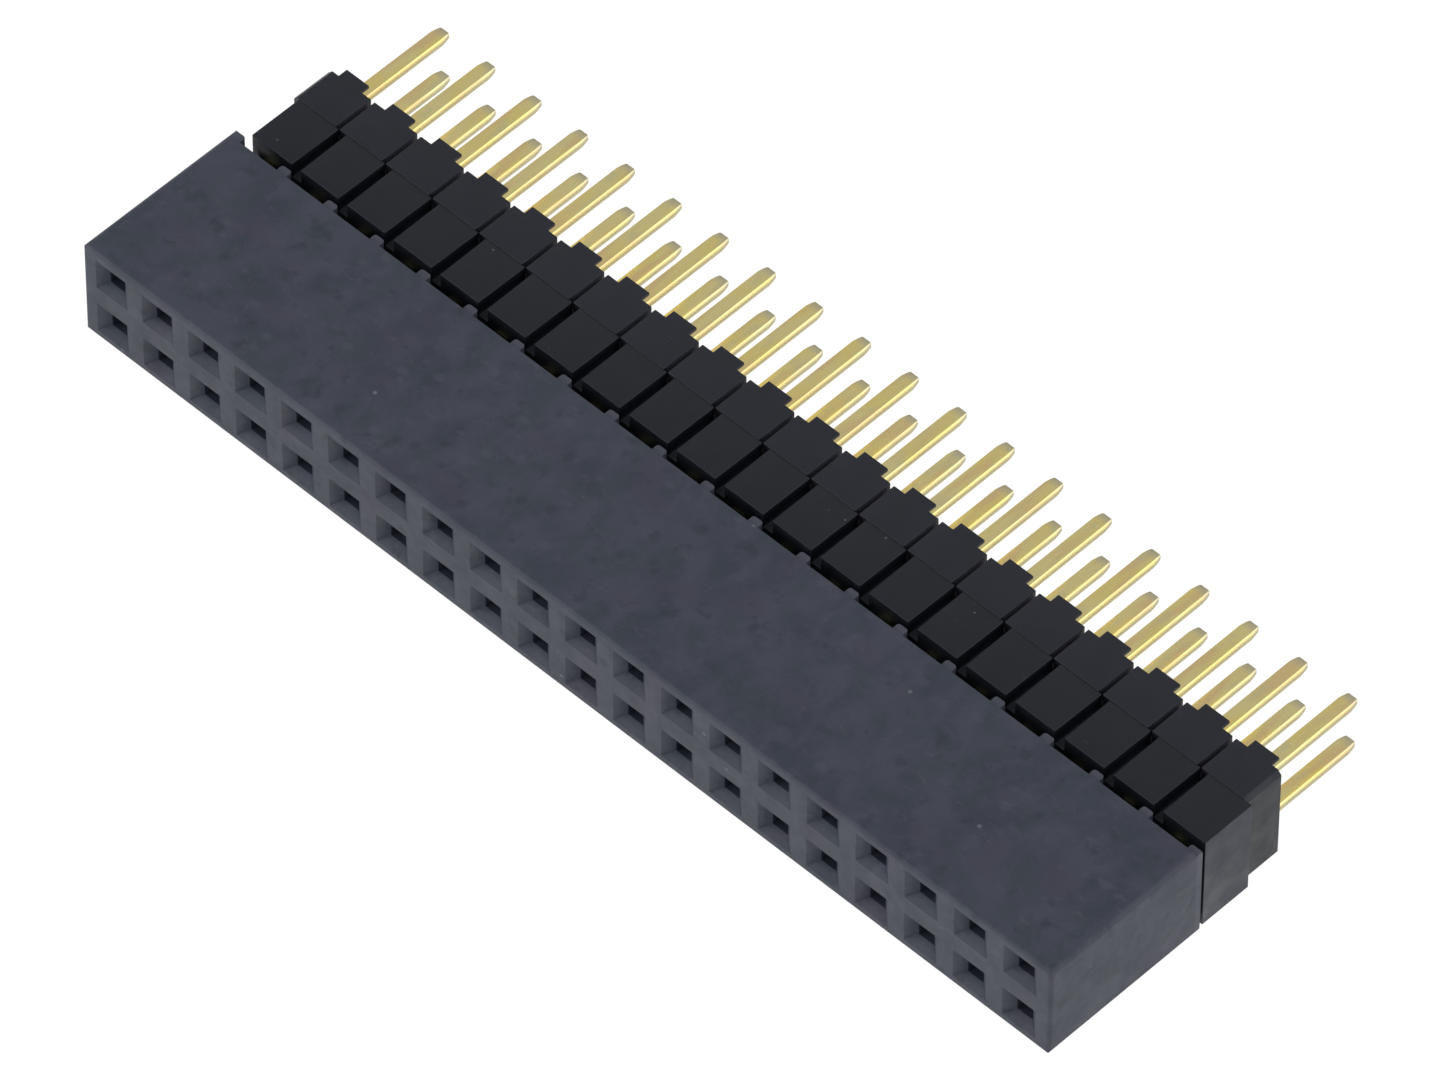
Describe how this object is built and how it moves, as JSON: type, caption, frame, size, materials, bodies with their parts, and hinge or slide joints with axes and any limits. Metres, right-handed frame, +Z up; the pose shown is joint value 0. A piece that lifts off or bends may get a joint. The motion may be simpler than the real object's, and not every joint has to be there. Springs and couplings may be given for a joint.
{
  "type": "female pin header strip",
  "caption": "Straight two-row female header at 2.54 mm pitch, with funnel sockets in a long housing, black spacer strips and long flat gold tails.",
  "frame": {"origin": "middle of the footprint, on the surface that the strip lies on, with the strip lying on its long side as in the picture", "axes": "+X along the rows of sockets, +Y the way the tails point (the mating face looks to -Y), +Z up, across the two rows"},
  "size_m": [0.0514, 0.0184, 0.005],
  "materials": {
    "housing_plastic": "matte moulded dark grey",
    "inner_spacer_plastic": "satin moulded black",
    "outer_spacer_plastic": "satin moulded black",
    "contact_gold": "bright gold flash over brass"
  },
  "bodies": {
    "root": {"housing": "housing_plastic", "inner_spacer": "inner_spacer_plastic", "outer_spacer": "outer_spacer_plastic", "contact_lower_01": "contact_gold", "contact_lower_02": "contact_gold", "contact_lower_03": "contact_gold", "contact_lower_04": "contact_gold", "contact_lower_05": "contact_gold", "contact_lower_06": "contact_gold", "contact_lower_07": "contact_gold", "contact_lower_08": "contact_gold", "contact_lower_09": "contact_gold", "contact_lower_10": "contact_gold", "contact_lower_11": "contact_gold", "contact_lower_12": "contact_gold", "contact_lower_13": "contact_gold", "contact_lower_14": "contact_gold", "contact_lower_15": "contact_gold", "contact_lower_16": "contact_gold", "contact_lower_17": "contact_gold", "contact_lower_18": "contact_gold", "contact_lower_19": "contact_gold", "contact_lower_20": "contact_gold", "contact_upper_01": "contact_gold", "contact_upper_02": "contact_gold", "contact_upper_03": "contact_gold", "contact_upper_04": "contact_gold", "contact_upper_05": "contact_gold", "contact_upper_06": "contact_gold", "contact_upper_07": "contact_gold", "contact_upper_08": "contact_gold", "contact_upper_09": "contact_gold", "contact_upper_10": "contact_gold", "contact_upper_11": "contact_gold", "contact_upper_12": "contact_gold", "contact_upper_13": "contact_gold", "contact_upper_14": "contact_gold", "contact_upper_15": "contact_gold", "contact_upper_16": "contact_gold", "contact_upper_17": "contact_gold", "contact_upper_18": "contact_gold", "contact_upper_19": "contact_gold", "contact_upper_20": "contact_gold"}
  },
  "joints": []
}
